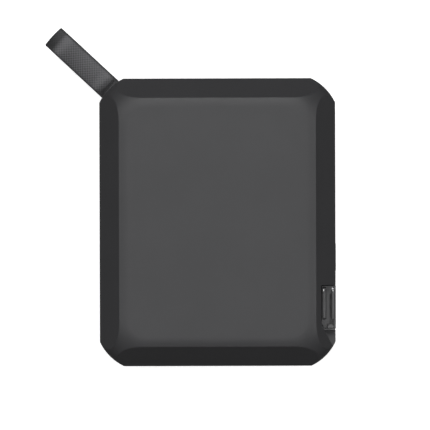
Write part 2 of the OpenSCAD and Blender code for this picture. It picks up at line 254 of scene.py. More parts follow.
class Finish:
    def __init__(self, name, colour, **constants):
        self.material = bpy.data.materials.new(name)
        self.material.use_nodes = True
        self.material.diffuse_color = (*colour, 1)
        self.tree = self.material.node_tree
        self.shader = self.tree.nodes["Principled BSDF"]
        self.shader.inputs["Base Color"].default_value = (*colour, 1)
        for socket, value in constants.items():
            self.shader.inputs[socket.replace("_", " ")].default_value = value

    def node(self, kind, settings=None, inputs=None, output=0):
        made = self.tree.nodes.new(kind)
        for setting, value in (settings or {}).items():
            setattr(made, setting, value)
        for socket, value in (inputs or {}).items():
            if isinstance(value, Value):
                self.tree.links.new(value.socket, made.inputs[socket])
            else:
                made.inputs[socket].default_value = value
        return Value(self, made.outputs[output])

    def feed(self, socket, value):
        self.tree.links.new(value.socket, self.shader.inputs[socket])

    def place(self):
        return self.node("ShaderNodeTexCoord", output="Object")

    def turned(self, where, size=(1, 1, 1), angle=(0, 0, 0)):
        return self.node("ShaderNodeMapping", {}, {"Vector": where, "Scale": size, "Rotation": angle})

    def axis(self, where, name):
        return self.node("ShaderNodeSeparateXYZ", {}, {"Vector": where}, name)

    def noise(self, where, size, detail=2.0, roughness=0.5):
        return self.node("ShaderNodeTexNoise", {}, {
            "Vector": where, "Scale": 1 / size, "Detail": detail, "Roughness": roughness}, "Fac")

    def cellEdges(self, where, size):  # distance to the edge of the nearest cell
        return self.node("ShaderNodeTexVoronoi", {"feature": "DISTANCE_TO_EDGE"}, {
            "Vector": where, "Scale": 1 / size}, "Distance")

    def between(self, value, low, high, toLow=0.0, toHigh=1.0):
        return self.node("ShaderNodeMapRange", {"clamp": True}, {
            "Value": value, "From Min": low, "From Max": high, "To Min": toLow, "To Max": toHigh})

    def mix(self, factor, first, second):
        made = self.node("ShaderNodeMix", {"data_type": "RGBA"}, {0: factor}, 2)
        mixer = made.socket.node
        for socket, colour in ((6, first), (7, second)):
            if isinstance(colour, Value):
                self.tree.links.new(colour.socket, mixer.inputs[socket])
            else:
                mixer.inputs[socket].default_value = (*colour, 1)
        return made

    def bump(self, height, depth, under=None):
        inputs = {"Height": height, "Distance": depth, "Strength": 1.0}
        if under:
            inputs["Normal"] = under
        return self.node("ShaderNodeBump", {}, inputs, "Normal")


def shade(colour, factor):
    return tuple(channel * factor for channel in colour)


# Finishes

def mouldedPlastic(name, look):  # spark-textured moulding with handling marks
    finish = Finish(name, look["colour"], Roughness=look["roughness"],
                    Specular_IOR_Level=look["specular"], Coat_Weight=look.get("coat", 0.0),
                    Coat_Roughness=look.get("coatRoughness", 0.1), Coat_IOR=look.get("coatIor", 1.5))
    where = finish.place()
    grain = finish.noise(where, look["grain"], 3.0, 0.6)
    cloud = finish.noise(where, 22 * mm, 2.0, 0.5)
    rub = finish.noise(where, 3.1 * mm, 4.0, 0.65)
    scratch = finish.cellEdges(finish.turned(where, (1, 9, 1), (0, 0, 0.7)), 7 * mm)
    scuff = finish.between(scratch, 0.0, 0.006, 1.0, 0.0) * finish.between(rub, 0.56, 0.7)
    tone = finish.mix(finish.between(cloud, 0.35, 0.65), shade(look["colour"], 0.97),
                      shade(look["colour"], 1.03))
    tone = finish.mix(scuff * look["scuffs"], tone, shade(look["colour"], 1.6))
    finish.feed("Base Color", tone)
    finish.feed("Roughness", finish.between(rub, 0.3, 0.75, look["roughness"] - 0.03,
                                            look["roughness"] + 0.04) + scuff * 0.05)
    skin = finish.bump(grain, look["grainDepth"])
    finish.feed("Normal", finish.bump(cloud, look["ripple"], skin))
    return finish.material


def rubber(name, look):
    finish = Finish(name, look["colour"], Roughness=0.72, Specular_IOR_Level=0.35)
    where = finish.place()
    grain = finish.noise(where, 0.25 * mm, 3.0, 0.6)
    dust = finish.noise(where, 4 * mm, 5.0, 0.7)
    finish.feed("Base Color", finish.mix(finish.between(dust, 0.5, 0.8, 0.0, 0.5),
                                         look["colour"], shade(look["colour"], 2.2)))
    finish.feed("Roughness", finish.between(dust, 0.3, 0.8, 0.62, 0.82))
    finish.feed("Normal", finish.bump(grain, 0.02 * mm))
    return finish.material


def metal(name, look):  # brushed along one axis, with smudges
    finish = Finish(name, look["colour"], Metallic=1.0, Roughness=look["roughness"])
    where = finish.place()
    brushed = finish.noise(finish.turned(where, look["brush"]), 0.9 * mm, 4.0, 0.7)
    smudge = finish.noise(where, 2.5 * mm, 3.0, 0.6)
    finish.feed("Base Color", finish.mix(finish.between(smudge, 0.4, 0.75),
                                         look["colour"], shade(look["colour"], 0.82)))
    finish.feed("Roughness", finish.between(brushed, 0.3, 0.7, look["roughness"] - 0.07,
                                            look["roughness"] + 0.09))
    finish.feed("Normal", finish.bump(brushed, look["depth"]))
    return finish.material


def webbing(name, look):  # warp ribs with a weft that floats over and under them
    finish = Finish(name, look["colour"], Roughness=0.7, Specular_IOR_Level=0.35,
                    Sheen_Weight=0.25, Sheen_Roughness=0.4)
    weave = finish.node("ShaderNodeUVMap", {"uv_map": "weave"}, {}, "UV")
    along = finish.axis(weave, "X")
    across = finish.axis(weave, "Y")
    column = finish.node("ShaderNodeMath", {"operation": "FLOOR"}, {0: across})
    odd = finish.node("ShaderNodeMath", {"operation": "MODULO"}, {0: column, 1: 2.0})
    wave = finish.node("ShaderNodeMath", {"operation": "SINE"}, {0: (along + odd * 0.5) * (2 * math.pi)})
    where = finish.place()
    fibre = finish.noise(where, 0.12 * mm, 4.0, 0.7)
    fuzz = finish.noise(where, 1.3 * mm, 3.0, 0.6)
    lift = finish.between(wave, -1.0, 1.0)
    fromTip = abs(along * (1 / look["waves"]) - 0.5) * look["length"] + fuzz * 0.8
    fade = look["fade"]
    # Painted shade: the webbing is darkened over its last few millimetres at the folded tip, and again
    # where it goes in under the case
    fold = finish.between(fromTip, look["fold"], look["fold"] + look["foldFade"])
    paintedEntryShade = finish.between(fromTip, look["paintedEntryShade"], look["paintedEntryShade"] + fade, 1.0, 0.0)
    # Painted highlight: two lighter bands across the webbing, one behind the folded tip and one just
    # outside the case
    paintedHighlight = finish.between(abs(fromTip - look["foldRub"]), 0.0, fade, 1.0, 0.0)
    paintedHighlight = paintedHighlight + finish.between(abs(fromTip - look["entryPaintedHighlight"]), 0.0, fade, 1.0, 0.0)
    turn = math.radians(look["angle"])
    start = look["start"]
    middle = start[1] * math.cos(turn) - start[0] * math.sin(turn) + look["shift"]
    sideways = (finish.axis(where, "Y") * math.cos(turn)
                - finish.axis(where, "X") * math.sin(turn) - middle)
    # Painted shade: the webbing darkens towards both of its long edges, where the rounded edges turn
    # away from the lamps
    paintedEdgeShade = finish.between(abs(sideways), look["paintedEdgeShade"] - 0.6 * mm, look["paintedEdgeShade"], 1.0, 0.2)
    level = (lift * 0.5 + fibre * 0.35 + 0.19) * (fold * paintedEntryShade * 0.78 + 0.22) + paintedHighlight * 0.3
    # Painted light and shade: the half of the strap towards +X and +Y is painted lighter and the other
    # half darker
    level = (level + finish.between(sideways, -3 * mm, 3 * mm, 0.2, -0.2)) * paintedEdgeShade
    finish.feed("Base Color", finish.mix(level, shade(look["colour"], 0.3), shade(look["colour"], 1.6)))
    finish.feed("Roughness", finish.between(fuzz, 0.3, 0.7, 0.62, 0.8))
    finish.feed("Normal", finish.bump(fibre, 0.03 * mm, finish.bump(lift, 0.03 * mm)))
    return finish.material


def boardFinish(name, look):  # solder mask over copper runs on a square grid
    finish = Finish(name, look["mask"], Roughness=0.32, Specular_IOR_Level=0.5)
    where = finish.place()
    lanes = finish.cellEdges(finish.turned(where, (1, 1, 0)), 3.2 * mm)
    fine = finish.axis(where, "X") * (1 / (0.6 * mm))
    stripe = finish.node("ShaderNodeMath", {"operation": "PINGPONG"}, {0: fine, 1: 0.5})
    copper = finish.between(stripe, 0.2, 0.26) * finish.between(lanes, 0.08, 0.12)
    finish.feed("Base Color", finish.mix(copper, look["mask"], look["copper"]))
    finish.feed("Roughness", finish.between(finish.noise(where, 2 * mm, 3.0), 0.3, 0.7, 0.26, 0.4))
    finish.feed("Normal", finish.bump(copper, 0.02 * mm))
    return finish.material


plasticLook = {"colour": (0.060, 0.060, 0.063), "roughness": 0.46, "specular": 0.4,
               "grain": 0.16 * mm, "grainDepth": 0.006 * mm, "ripple": 0.0015 * mm, "scuffs": 0.12}
wornLook = {**plasticLook, "colour": (0.066, 0.066, 0.069), "roughness": 0.38}
rearLook = {**plasticLook, "colour": (0.045, 0.045, 0.047), "roughness": 0.5, "scuffs": 0.35}
glossLook = {**plasticLook, "colour": (0.045, 0.045, 0.048), "roughness": 0.2, "specular": 0.5,
             "grain": 0.5 * mm, "grainDepth": 0.001 * mm, "ripple": 0.004 * mm,
             "coat": 0.4, "coatRoughness": 0.06}
# The door's own dark grey with painted light: its grey is raised above the cover's to cancel the shade
# of the deep bay it sits in
doorLookWithPaintedLight = {**plasticLook, "colour": (0.082, 0.082, 0.085), "roughness": 0.36, "specular": 0.45,
            "grain": 0.3 * mm, "grainDepth": 0.002 * mm, "coat": 0.2, "coatRoughness": 0.2}
polishLook = {**doorLookWithPaintedLight, "coat": 1.0, "coatRoughness": 0.05, "coatIor": 3.2}
# Painted light: the gloss frame plastic made lighter for the floor of the door's bay, to cancel the
# shade that falls in that deep recess
bayFloorPaintedLightLook = {**glossLook, "colour": (0.12, 0.12, 0.124), "roughness": 0.3}
buttonLook = {**plasticLook, "colour": (0.025, 0.025, 0.027), "roughness": 0.34}
windowLook = {**glossLook, "colour": (0.016, 0.017, 0.02), "roughness": 0.1}
nylonLook = {**plasticLook, "colour": (0.010, 0.010, 0.011), "roughness": 0.45, "grain": 0.2 * mm}
resinLook = {**plasticLook, "colour": (0.022, 0.022, 0.024), "roughness": 0.55, "grain": 0.1 * mm}

coverPlastic = mouldedPlastic("coverPlastic", plasticLook)
coverEdge = mouldedPlastic("coverEdge", wornLook)
rearPlastic = mouldedPlastic("rearPlastic", rearLook)
framePlastic = mouldedPlastic("framePlastic", glossLook)
doorPlastic = mouldedPlastic("doorPlastic", doorLookWithPaintedLight)
beadPolish = mouldedPlastic("beadPolish", polishLook)
bayFloorPaintedLight = mouldedPlastic("bayFloorPaintedLight", bayFloorPaintedLightLook)
buttonPlastic = mouldedPlastic("buttonPlastic", buttonLook)
windowPlastic = mouldedPlastic("windowPlastic", windowLook)
blackNylon = mouldedPlastic("blackNylon", nylonLook)
switchPlastic = mouldedPlastic("switchPlastic", {**nylonLook, "colour": (0.5, 0.5, 0.47)})
chipResin = mouldedPlastic("chipResin", resinLook)
gripRubber = rubber("gripRubber", {"colour": (0.012, 0.012, 0.013)})
gasketRubber = rubber("gasketRubber", {"colour": (0.006, 0.006, 0.006)})
thermalSilicone = rubber("thermalSilicone", {"colour": (0.2, 0.27, 0.35)})
screwSteel = metal("screwSteel", {"colour": (0.42, 0.42, 0.44), "roughness": 0.32,
                                  "brush": (1, 1, 1), "depth": 0.004 * mm})
pinSteel = metal("pinSteel", {"colour": (0.55, 0.55, 0.57), "roughness": 0.25,
                              "brush": (1, 1, 8), "depth": 0.002 * mm})
socketSteel = metal("socketSteel", {"colour": (0.55, 0.55, 0.56), "roughness": 0.3,
                                    "brush": (1, 9, 9), "depth": 0.003 * mm})
insertBrass = metal("insertBrass", {"colour": (0.62, 0.42, 0.14), "roughness": 0.35,
                                    "brush": (1, 1, 6), "depth": 0.01 * mm})
contactGold = metal("contactGold", {"colour": (0.75, 0.52, 0.2), "roughness": 0.22,
                                    "brush": (8, 1, 8), "depth": 0.001 * mm})
sinkAluminium = metal("sinkAluminium", {"colour": (0.035, 0.035, 0.04), "roughness": 0.42,
                                        "brush": (9, 1, 9), "depth": 0.006 * mm})
canSteel = metal("canSteel", {"colour": (0.6, 0.6, 0.6), "roughness": 0.28,
                              "brush": (1, 7, 1), "depth": 0.003 * mm})
strapThread = rubber("strapThread", {"colour": (0.03, 0.03, 0.032)})
laminate = boardFinish("laminate", {"mask": (0.012, 0.07, 0.035), "copper": (0.03, 0.16, 0.08)})
ferrite = rubber("ferrite", {"colour": (0.06, 0.06, 0.065)})
ceramic = rubber("ceramic", {"colour": (0.38, 0.24, 0.12)})
lampResin = mouldedPlastic("lampResin", {**plasticLook, "colour": (0.75, 0.73, 0.62), "roughness": 0.2})
print("finishes ready")


# Camera, light and stage

view = {"lens": 500.0, "sensor": 36.0, "across": 149.45 * mm, "aimX": -0.86 * mm, "aimY": 2.49 * mm,
        "aimZ": 14 * mm, "turn": -0.17, "near": 0.01, "far": 20}


def setCamera():
    distance = view["across"] * view["lens"] / view["sensor"]
    deselectAll()
    bpy.ops.object.camera_add(location=(view["aimX"], view["aimY"], view["aimZ"] + distance),
                              rotation=(0, 0, math.radians(view["turn"])))
    camera = bpy.context.object
    camera.name = "mainCamera"
    camera.data.lens = view["lens"]
    camera.data.sensor_width = view["sensor"]
    camera.data.clip_start = view["near"]
    camera.data.clip_end = view["far"]
    bpy.context.scene.camera = camera


# Each box has its direction, its side in metres and its power in watts
lights = {"skyStrength": 0.09, "distance": 1.3, "boxes": {
    "overheadBox": ((0, 0, 1), 0.5, 2.35), "frontBox": ((0, 0.5, 0.866), 0.5, 4.2),
    "leftBox": ((-0.62, 0.08, 0.78), 0.6, 2.0), "cornerBox": ((-0.42, 0.5, 0.76), 0.5, 1.5),
    "rightBox": ((0.64, 0, 0.77), 0.6, 2.9)}}


def addSoftbox(name, direction, size, power):
    place = Vector(direction).normalized() * lights["distance"]
    deselectAll()
    bpy.ops.object.light_add(type="AREA", location=place,
                             rotation=place.to_track_quat("Z", "Y").to_euler())
    lamp = bpy.context.object
    lamp.name = name
    lamp.data.shape = "SQUARE"
    lamp.data.size = size
    lamp.data.energy = power


stage = {"floorSize": 3, "paint": (0.93, 0.93, 0.93), "floorGlow": 0.8, "backdropRadius": 4.5,
         "backdropGlow": 1.0}


def setStage():
    deselectAll()
    bpy.ops.mesh.primitive_plane_add(size=stage["floorSize"], location=(0, 0, 0))
    floor = bpy.context.object
    floor.name = "floor"
    finish = Finish("floorPaint", stage["paint"], Roughness=0.9, Specular_IOR_Level=0.1,
                    Emission_Color=(1, 1, 1, 1), Emission_Strength=stage["floorGlow"])
    output = finish.tree.nodes["Material Output"]
    below = finish.node("ShaderNodeNewGeometry", output="Backfacing")  # clear when seen from below
    clear = finish.node("ShaderNodeBsdfTransparent")
    shown = finish.node("ShaderNodeMixShader", {}, {0: below, 2: clear})
    finish.tree.links.new(finish.shader.outputs[0], shown.socket.node.inputs[1])
    finish.tree.links.new(shown.socket, output.inputs["Surface"])
    floor.data.materials.append(finish.material)
    floor.visible_diffuse = floor.visible_glossy = False
    bpy.ops.mesh.primitive_uv_sphere_add(radius=stage["backdropRadius"], segments=48, ring_count=24)
    backdrop = bpy.context.object
    backdrop.name = "backdrop"
    paper = Finish("backdropPaper", (0, 0, 0))
    glow = paper.node("ShaderNodeEmission", {}, {
        "Color": (1, 1, 1, 1), "Strength": stage["backdropGlow"]})
    paper.tree.links.new(glow.socket, paper.tree.nodes["Material Output"].inputs["Surface"])
    backdrop.data.materials.append(paper.material)
    backdrop.visible_diffuse = backdrop.visible_glossy = backdrop.visible_shadow = False
    backdrop.visible_transmission = False


def setLight():
    world = bpy.data.worlds.new("studio")
    bpy.context.scene.world = world
    world.use_nodes = True
    world.node_tree.nodes["Background"].inputs[0].default_value = (1, 1, 1, 1)
    world.node_tree.nodes["Background"].inputs[1].default_value = lights["skyStrength"]
    for name, (direction, size, power) in lights["boxes"].items():
        addSoftbox(name, direction, size, power)
    bpy.context.scene.view_settings.view_transform = "Standard"


setCamera()
setStage()
setLight()
print("stage ready")


# Front cover: rounded block, rolled top edge, four flat bevels, bay for the door, 2 mm wall

coverForm = {"cornerRadius": 17.7 * mm, "cornerInset": 16 * mm, "cornerSegments": 26,
             "roll": 12 * mm, "rollSegments": 18, "bevelRun": 7.25 * mm, "wall": 2 * mm,
             "edge": 0.16 * mm, "bayTop": doorHigh.y + 0.2 * mm, "baySide": doorLow.x - 0.2 * mm,
             "bayKnee": -35.5 * mm, "baySlant": 28.6, "bayReach": 10 * mm, "blockDepth": 6 * mm,
             "bayDepth": 5 * mm}


def cutSides(piece):
    for side in (-1, 1):
        sliceOff(piece, (side * halfWidth, 0, 0), (side, 0, 0))
        sliceOff(piece, (0, side * halfLength, 0), (0, side, 0))


def cutBevels(piece, run, drop):
    for side in (-1, 1):
        sliceOff(piece, (side * halfWidth, 0, bandTop), (side * drop, 0, run))
        sliceOff(piece, (0, side * halfLength, bandTop), (0, side * drop, run))


def makeBayTool():
    form = coverForm
    reach, depth = form["bayReach"], form["bayDepth"]
    tool = addBlock("bayTool", (form["baySide"], -halfLength - reach, bandTop - depth),
                    (halfWidth + reach, form["bayTop"], faceTop + depth))
    slant = math.radians(form["baySlant"])
    sliceOff(tool, (form["baySide"], form["bayKnee"], 0), (-math.cos(slant), -math.sin(slant), 0))
    return tool


def makeFrontCover():
    form = coverForm
    reach = form["cornerRadius"] - form["cornerInset"]
    outX, outY = halfWidth + reach, halfLength + reach
    piece = addBlock("frontCover", (-outX, -outY, bandTop - form["blockDepth"]), (outX, outY, faceTop))
    roundEdges(piece, lambda a, b: abs(a.z - b.z) > mm, form["cornerRadius"], form["cornerSegments"])
    roundEdges(piece, lambda a, b: min(a.z, b.z) > faceTop - 0.01 * mm, form["roll"],
               form["rollSegments"])
    cutSides(piece)
    cutBevels(piece, form["bevelRun"], faceTop - bandTop)
    sliceOff(piece, (0, 0, bandTop), (0, 0, -1))
    combine(piece, makeBayTool())
    mergeClose(piece, 0.02 * mm)
    pick(piece, "FACE", lambda centre, normal: normal.z < -0.99)
    bpy.ops.mesh.delete(type="FACE")
    leaveEdit()
    applyModifier(piece, "SOLIDIFY", thickness=form["wall"], offset=-1, use_even_offset=True)
    dress(piece, coverPlastic, coverEdge)
    soften(piece, form["edge"], edgeSlot=1)
    finishPiece(piece, "case", "cover_plastic", ["front_cover"])
    print("front cover", len(piece.data.polygons), "faces")


makeFrontCover()


# Frame and rear shell: their CAD shapes with the edges broken, and painted light on the floor of the
# door's bay: a lighter copy of the frame plastic that cancels the shade there

def inBay(face):
    return (face.normal.z > 0.1 and face.center.x > coverForm["baySide"]
            and bandBottom < face.center.z and face.center.y < coverForm["bayTop"])


for node, name, edge, slot, material in (
        ("mid_frame", "midFrame", 0.2 * mm, "frame_plastic", framePlastic),
        ("rear_shell", "rearShell", 0.15 * mm, "rear_plastic", rearPlastic)):
    piece = softCopy(node, name, edge)
    finishPiece(piece, "case", slot, [node], material, bayFloorPaintedLight)
    # Faces of the bay floor take the lighter copy, which is painted light
    for face in piece.data.polygons:
        face.material_index = int(inBay(face))
print("frame and rear shell ready")


# Grip pad: a sheet of rubber with long ribs moulded on its underside

gripForm = {"ribs": 17, "groove": 0.35 * mm, "edge": 0.12 * mm, "rim": 2.2 * mm}


def makeGripPad():
    low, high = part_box("grip_pad")
    piece = addBlock("gripPad", low, high)
    pick(piece, "FACE", lambda centre, normal: normal.z < -0.9)
    bpy.ops.mesh.inset(thickness=gripForm["rim"])
    leaveEdit()
    inner = low.x + gripForm["rim"]
    pitch = (high.x - low.x - 2 * gripForm["rim"]) / (2 * gripForm["ribs"] - 1)
    for i in range(1, 2 * gripForm["ribs"] - 1):
        pick(piece, "FACE", lambda centre, normal: normal.z < -0.9)
        bpy.ops.mesh.bisect(plane_co=(inner + i * pitch, 0, 0), plane_no=(1, 0, 0),
                            threshold=cutTolerance)
        leaveEdit()
    reach = high.y - gripForm["rim"]

    def inGroove(centre, normal):
        column = (centre.x - inner) / pitch
        return (normal.z < -0.9 and abs(centre.y) < reach
                and 0 < column < 2 * gripForm["ribs"] - 1 and int(column) % 2 == 1)

    pick(piece, "FACE", inGroove)
    bpy.ops.mesh.extrude_region_shrink_fatten(
        TRANSFORM_OT_shrink_fatten={"value": -gripForm["groove"]})
    leaveEdit()
    mergeClose(piece, 0.002 * mm)
    soften(piece, gripForm["edge"])
    finishPiece(piece, "case", "grip_rubber", ["grip_pad"], gripRubber)


makeGripPad()
print("grip pad ready")


# Carrying strap: a loop of webbing round its pin, sewn flat beside the case and folded at its end

strapForm = {"start": (-25 * mm, 34 * mm), "angle": 137, "shift": -0.72 * mm, "pinAt": 15 * mm,
             "eye": 1.45 * mm, "thick": 0.9 * mm, "width": 8.4 * mm, "edge": 0.42 * mm,
             "flat": 0.47 * mm, "narrow": 0.94, "wideFrom": 16.4 * mm, "taperEnd": 19.5 * mm,
             "swellStart": 31 * mm, "swell": 1.85 * mm, "noseStart": 38.5 * mm, "nose": 44.4 * mm,
             "noseShape": 1.8, "noseNarrow": 0.006, "droop": 0.8 * mm, "tipBow": 0.25 * mm,
             "yarns": 30, "yarnFaces": 5, "waves": 58, "waveFaces": 7, "weaveDepth": 0.09 * mm,
             "yarnShape": 0.6, "sunkYarn": 0.45, "raisedYarn": 0.55}

# Distances along the loop are in millimetres here, all but its length from its tip; they place the
# painted shade at the folded tip and where the strap goes into the case, and the painted highlight bands
# near both ends
strapWebbing = webbing("strapWebbing", {
    **strapForm, "colour": (0.105, 0.105, 0.11), "length": 65, "fold": 3.3, "foldFade": 1.6,
    "foldRub": 5.7, "paintedEntryShade": 24.6, "entryPaintedHighlight": 23.4, "fade": 2.2, "paintedEdgeShade": 3.8 * mm})


def ease(x):
    x = min(max(x, 0.0), 1.0)
    return x * x * (3 - 2 * x)


def layerHeight(u):  # height of a layer's middle above the strap's own middle
    form = strapForm
    if u < form["pinAt"]:
        return math.sqrt(max(form["eye"] ** 2 - (u - form["pinAt"]) ** 2, 0))
    if u < form["swellStart"]:
        taper = ease((u - form["pinAt"]) / (form["taperEnd"] - form["pinAt"]))
        return form["eye"] + (form["flat"] - form["eye"]) * taper
    if u < form["noseStart"]:
        rise = ease((u - form["swellStart"]) / (form["noseStart"] - form["swellStart"]))
        return form["flat"] + (form["swell"] - form["flat"]) * rise
    along = min((u - form["noseStart"]) / (form["nose"] - form["noseStart"]), 1.0)
    power = form["noseShape"]
    return form["swell"] * (1 - along ** power) ** (1 / power)


def droop(u):
    form = strapForm
    past = max(u - form["noseStart"], 0) / (form["nose"] - form["noseStart"])
    return -form["droop"] * past * past


def loopPath(count):  # even steps round the loop, from the back of the eye and over the top
    form = strapForm
    middle = (form["pinAt"] - form["eye"] + form["nose"]) / 2
    half = (form["nose"] - form["pinAt"] + form["eye"]) / 2
    points = []
    for i in range(4 * count):
        turn = 2 * math.pi * i / (4 * count)
        u = middle - half * math.cos(turn)
        side = 1 if i <= 2 * count else -1
        points.append(Vector((u, side * layerHeight(u) + droop(u))))
    lengths = [0.0]
    for a, b in zip(points, points[1:] + points[:1]):
        lengths.append(lengths[-1] + (b - a).length)
    even, j = [], 0
    for i in range(count):
        target = lengths[-1] * i / count
        while lengths[j + 1] < target:
            j += 1
        share = (target - lengths[j]) / (lengths[j + 1] - lengths[j])
        even.append(points[j].lerp(points[(j + 1) % len(points)], share))
    return even


def strapPlace(u, v, w):
    form = strapForm
    turn = math.radians(form["angle"])
    along = Vector((math.cos(turn), math.sin(turn), 0))
    across = Vector((-math.sin(turn), math.cos(turn), 0))
    start = Vector((*form["start"], jointPlace("strap_swing").z))
    return start + along * u + across * (v + form["shift"]) + Vector((0, 0, w))


def webbingSection(share):  # place and outward direction round the flat, round-edged section
    form = strapForm
    straight = form["width"] / 2 - form["edge"]
    half = form["thick"] / 2
    stem = half - form["edge"]
    arc = form["edge"] * math.pi / 2
    quarter = straight + stem + arc
    around = share * 4
    side = 1 if around >= 0 else -1
    reach = abs(around) * quarter
    flip = 1
    if reach > quarter:
        reach, flip = 2 * quarter - reach, -1
    if reach < straight:
        v, n, turn = reach, half, 0
    elif reach < straight + arc:
        turn = (reach - straight) / form["edge"]
        v = straight + form["edge"] * math.sin(turn)
        n = stem + form["edge"] * math.cos(turn)
    else:
        v, n, turn = straight + form["edge"], quarter - reach, math.pi / 2
    return Vector((side * v, flip * n)), Vector((side * math.sin(turn), flip * math.cos(turn)))


def makeStrap():
    form = strapForm
    rings = form["waves"] * form["waveFaces"]
    around = form["yarns"] * form["yarnFaces"]
    deselectAll()
    bpy.ops.mesh.primitive_torus_add(major_segments=rings, minor_segments=around,
                                     major_radius=1, minor_radius=0.25, generate_uvs=True)
    piece = settle("carryingStrap")
    path = loopPath(rings)
    for vertex in piece.data.vertices:
        x, y, z = vertex.co
        major = 0.5 - math.atan2(y, x) / (2 * math.pi)
        minor = math.atan2(z, math.hypot(x, y) - 1) / (2 * math.pi)
        i = round(major * rings) % rings
        ahead = (path[(i + 1) % rings] - path[i - 1]).normalized()
        outward = Vector((-ahead.y, ahead.x))
        place, facing = webbingSection(minor)
        yarn = minor * form["yarns"]
        ridge = abs(math.cos(math.pi * yarn)) ** form["yarnShape"]
        wave = 0.5 + 0.5 * math.cos(2 * math.pi * (major * form["waves"] + 0.5 * round(yarn)))
        sink = form["weaveDepth"] * (1 - ridge * (form["sunkYarn"] + form["raisedYarn"] * wave))
        place -= facing * sink
        tip = max(path[i].x - form["noseStart"], 0) / (form["nose"] - form["noseStart"])
        inside = 1 - ease((path[i].x - form["wideFrom"]) / (2 * mm) + 0.5)
        across = place.x * (1 - form["noseNarrow"] * tip ** 2) * (1 - (1 - form["narrow"]) * inside)
        middle = path[i] + outward * place.y
        bow = form["tipBow"] * tip ** 2 * (across / (form["width"] / 2)) ** 2
        vertex.co = strapPlace(middle.x - bow, across, middle.y)
    weave = piece.data.uv_layers.active
    weave.name = "weave"
    for corner in weave.data:
        corner.uv = (corner.uv.x * form["waves"], corner.uv.y * form["yarns"])
    editAll(piece)
    bpy.ops.mesh.normals_make_consistent(inside=False)
    leaveEdit()
    bpy.ops.object.shade_smooth()
    finishPiece(piece, "strap", "strap_webbing", ["carrying_strap"], strapWebbing)
    print("strap", len(piece.data.polygons), "faces")


makeStrap()


# Bar tack that closes the strap's eye: one arched stitch, copied across both faces

stitchForm = {"at": 18.6 * mm, "length": 1.5 * mm, "thread": 0.13 * mm, "pitch": 0.44 * mm,
              "count": 15, "slant": 9, "arch": 0.2 * mm, "thinning": 0.45}


def makeStitches():
    form = stitchForm
    seed = addRod("stitch", (-form["length"] / 2, 0, 0), (form["length"] / 2, 0, 0),
                  form["thread"], 8)
    pick(seed, "EDGE", lambda a, b: abs(a.x - b.x) > form["length"] / 2)
    bpy.ops.mesh.subdivide(number_cuts=6)
    leaveEdit()
    for vertex in seed.data.vertices:
        bend = (2 * vertex.co.x / form["length"]) ** 2
        thin = 1 - form["thinning"] * bend * bend
        vertex.co.y *= thin
        vertex.co.z = vertex.co.z * thin - form["arch"] * bend
    smooth(seed, 50)
    surface = layerHeight(form["at"]) + strapForm["thick"] / 2
    drop = math.atan2(layerHeight(form["at"] - 0.5 * mm) - layerHeight(form["at"] + 0.5 * mm), mm)
    turn = math.radians(strapForm["angle"])
    places = []
    for face in (1, -1):
        for i in range(form["count"]):
            slant = math.radians(form["slant"]) * (1 if i % 2 else -1)
            across = (i - (form["count"] - 1) / 2) * form["pitch"]
            places.append(
                Matrix.Translation(strapPlace(form["at"], across, face * surface))
                @ Matrix.Rotation(turn, 4, "Z") @ Matrix.Rotation(face * drop, 4, "Y")
                @ Matrix.Rotation(slant, 4, "Z") @ Matrix.Rotation(math.pi * (face < 0), 4, "X"))
    piece = joinAs("strapStitches", copiesOf(seed, places))
    finishPiece(piece, "strap", "strap_webbing", [], strapThread)


makeStitches()
print("stitches ready")


# Port door: a block with a hollow back, a slanted end, two long beads and a pull lip

# Each bead has its place across the door, its radius, how deep its middle lies, where it starts
# and how far its worn facet reaches
doorForm = {"top": bandTop + 0.1 * mm, "fall": 0.8 * mm, "topEdge": 0.22 * mm, "edge": 0.16 * mm,
            "backCorner": 0.6 * mm, "slantRun": 0.95 * mm, "slantRise": 1.7 * mm,
            "beads": ((0.84 * mm, 1.2 * mm, 0.84 * mm, 0.15 * mm, 1.9 * mm),
                      (4.05 * mm, 0.85 * mm, 0.5 * mm, 1.2 * mm, 0)),
            "beadRound": 0.94, "beadEnd": 2.8 * mm, "facet": 0.06, "facetMatch": 0.004,
            "polishFrom": 1.1 * mm, "polishSlope": 0.08, "polishRise": 0.03 * mm,
            "lipStart": 2.0 * mm, "lipWidth": 2.4 * mm, "lipLength": 1.6 * mm,
            "lipRound": 0.8 * mm, "lipEdge": 0.35 * mm, "skin": 0.75 * mm, "topSkin": 0.45 * mm,
            "hingeBlock": 2.8 * mm, "knuckle": 1.35 * mm, "postTop": 7.0 * mm, "bore": 0.65 * mm,
            "boreCap": 0.6 * mm}


